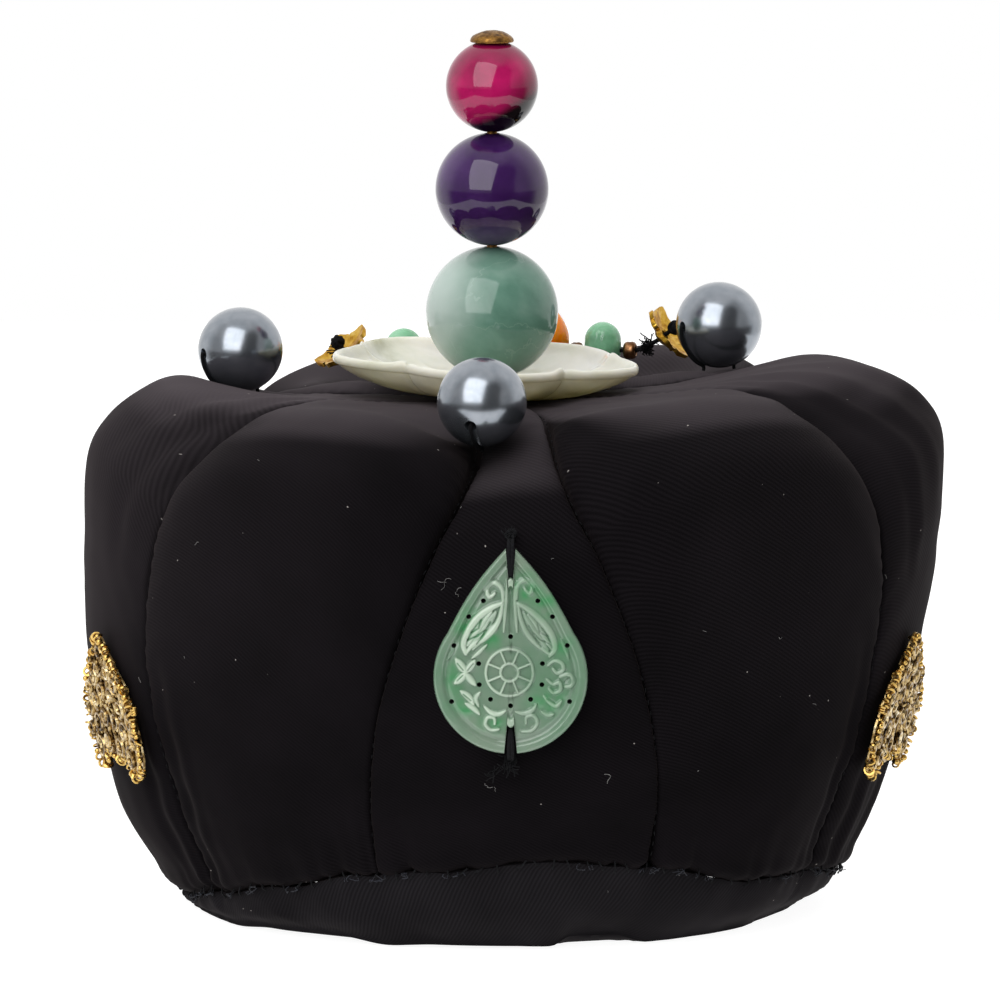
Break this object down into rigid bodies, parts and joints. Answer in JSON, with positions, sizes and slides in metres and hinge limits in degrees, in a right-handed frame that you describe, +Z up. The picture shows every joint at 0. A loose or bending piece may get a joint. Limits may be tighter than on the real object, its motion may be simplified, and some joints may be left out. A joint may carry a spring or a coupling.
{
  "type": "Korean bridal crown (jokduri)",
  "caption": "Padded black silk bridal coronet with panels that flare to a flat top, a jade dish, a stacked bead finial, pearls, a carved jade teardrop and gilt side ornaments.",
  "frame": {"origin": "on the table, under the middle of the padded body", "axes": "+Z up through the finial, -Y the front with the jade teardrop, +X the viewer's right"},
  "size_m": [0.1514, 0.1527, 0.154],
  "materials": {
    "black_silk": "matte silk twill over cotton padding",
    "black_thread": "matt silk thread",
    "grey_jade": "polished, milky grey-green",
    "green_jade": "polished, mottled",
    "plaque_jade": "carved and polished",
    "amethyst": "polished",
    "tiger_eye": "polished, dyed",
    "grey_pearl": "grey lustre coat of a faux pearl",
    "gilt_brass": "worn gilding",
    "bronze": "dark bronze tone",
    "aventurine": "polished",
    "amber": "clear amber resin"
  },
  "bodies": {
    "root": {"gusset_front": "black_silk", "gusset_right": "black_silk", "gusset_left": "black_silk", "flank_front_right": "black_silk", "flank_front_left": "black_silk", "flank_side_right": "black_silk", "flank_side_left": "black_silk", "flank_back_right": "black_silk", "flank_back_left": "black_silk", "hem_band": "black_silk", "lotus_plate": "grey_jade", "bead_jade": "green_jade", "bead_amethyst": "amethyst", "bead_tiger_eye": "tiger_eye", "finial_pin": "gilt_brass", "jade_plaque": "plaque_jade", "applique_left": "gilt_brass", "applique_right": "gilt_brass", "flower_left": "gilt_brass", "flower_right": "gilt_brass", "green_left": "aventurine", "green_right": "aventurine", "middle_bead": "aventurine", "amber_left": "amber", "amber_right": "amber", "pearl_front": "grey_pearl", "pearl_front_thread": "black_thread", "pearl_left": "grey_pearl", "pearl_left_thread": "black_thread", "pearl_right": "grey_pearl", "pearl_right_thread": "black_thread", "plaque_thread_top": "black_thread", "plaque_thread_bottom": "black_thread", "strand_thread": "black_thread", "knot_left": "black_thread", "knot_right": "black_thread", "spacer_1": "bronze", "spacer_2": "bronze", "spacer_3": "bronze", "spacer_4": "bronze", "spacer_5": "bronze", "spacer_6": "bronze"}
  },
  "joints": []
}
